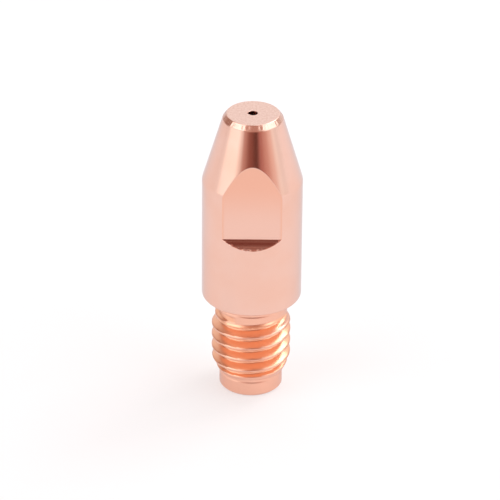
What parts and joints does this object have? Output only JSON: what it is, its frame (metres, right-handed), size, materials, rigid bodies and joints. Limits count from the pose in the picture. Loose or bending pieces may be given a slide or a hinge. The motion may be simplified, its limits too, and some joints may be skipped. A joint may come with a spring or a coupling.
{
  "type": "welding contact tip",
  "caption": "Turned copper contact tip for a gas-shielded welding torch: tapered nose with wire bore, spanner flats, shouldered body and threaded stem with plain pilot.",
  "frame": {"origin": "centre of the tail face, on the axis, where the tip stands", "axes": "+Z along the axis from tail to nose; -Y out of the spanner flat that faces the camera in the picture"},
  "size_m": [0.0098, 0.0098, 0.03],
  "materials": {
    "copper": "bright turned copper with fine tool marks, milled flats"
  },
  "bodies": {
    "root": {"contact_tip": "copper"}
  },
  "joints": []
}
